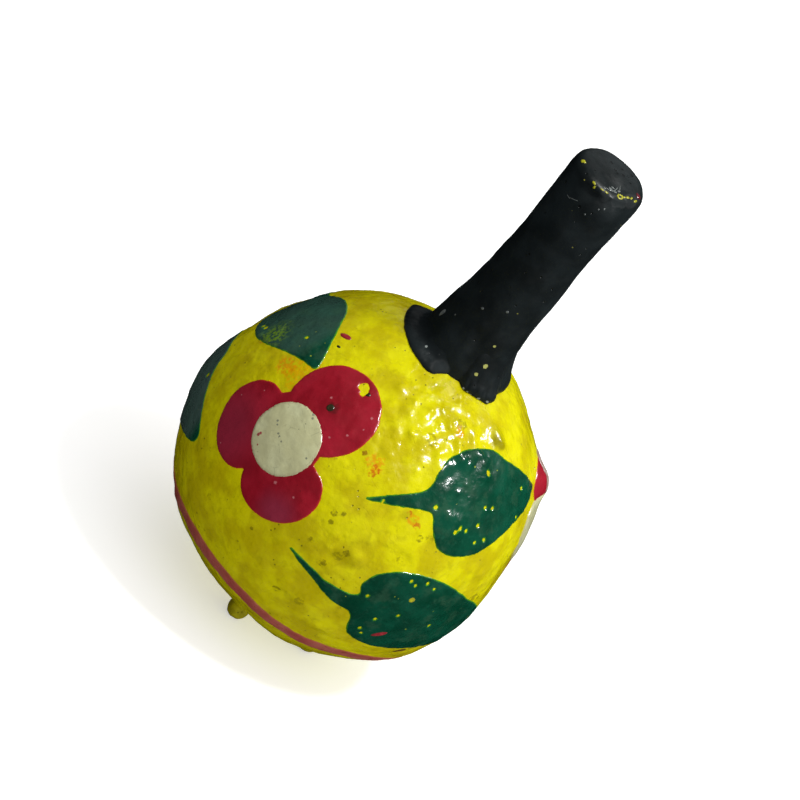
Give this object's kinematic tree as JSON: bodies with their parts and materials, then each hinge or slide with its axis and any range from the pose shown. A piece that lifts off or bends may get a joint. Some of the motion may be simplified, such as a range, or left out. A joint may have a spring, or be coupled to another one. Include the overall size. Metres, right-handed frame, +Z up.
{
  "type": "painted clay hand rattle",
  "caption": "Hand-painted hollow clay ball with a solid black clay handle, nub feet and loose pellets sealed inside; flowers and leaves on yellow.",
  "frame": {"origin": "on the resting surface, under the middle of the ball", "axes": "+Z up along the ball's axis to the handle's end, -Y the front with the whole three-petal flower, +X to the right of that front"},
  "size_m": [0.08, 0.08, 0.136],
  "materials": {
    "yellow_painted_clay": "gloss",
    "black_painted_clay": "satin",
    "fired_clay": "matte",
    "crimson_paint": "gloss",
    "green_paint": "gloss",
    "cream_paint": "gloss"
  },
  "bodies": {
    "rattle_body": {"ball_dome": "yellow_painted_clay", "ball_base": "yellow_painted_clay", "seam_coil": "fired_clay", "handle": "black_painted_clay", "inner_lute": "fired_clay", "root_lobe_left": "black_painted_clay", "root_lobe_right": "black_painted_clay", "root_lobe_back": "black_painted_clay", "foot_front": "yellow_painted_clay", "foot_right": "yellow_painted_clay", "foot_back": "yellow_painted_clay", "foot_left": "yellow_painted_clay"},
    "pellet_1_body": {"pellet_1": "fired_clay"},
    "pellet_2_body": {"pellet_2": "fired_clay"},
    "pellet_3_body": {"pellet_3": "fired_clay"},
    "pellet_4_body": {"pellet_4": "fired_clay"},
    "pellet_5_body": {"pellet_5": "fired_clay"},
    "pellet_6_body": {"pellet_6": "fired_clay"}
  },
  "joints": [
    {"name": "pellet_1_hop", "type": "slide", "parent": "rattle_body", "child": "pellet_1_body", "axis": [0, 0, 1], "range_m": [0, 0.0546]},
    {"name": "pellet_2_hop", "type": "slide", "parent": "rattle_body", "child": "pellet_2_body", "axis": [0, 0, 1], "range_m": [0, 0.0552]},
    {"name": "pellet_3_hop", "type": "slide", "parent": "rattle_body", "child": "pellet_3_body", "axis": [0, 0, 1], "range_m": [0, 0.0544]},
    {"name": "pellet_4_hop", "type": "slide", "parent": "rattle_body", "child": "pellet_4_body", "axis": [0, 0, 1], "range_m": [0, 0.055]},
    {"name": "pellet_5_hop", "type": "slide", "parent": "rattle_body", "child": "pellet_5_body", "axis": [0, 0, 1], "range_m": [0, 0.0554]},
    {"name": "pellet_6_hop", "type": "slide", "parent": "rattle_body", "child": "pellet_6_body", "axis": [0, 0, 1], "range_m": [0, 0.0548]}
  ]
}
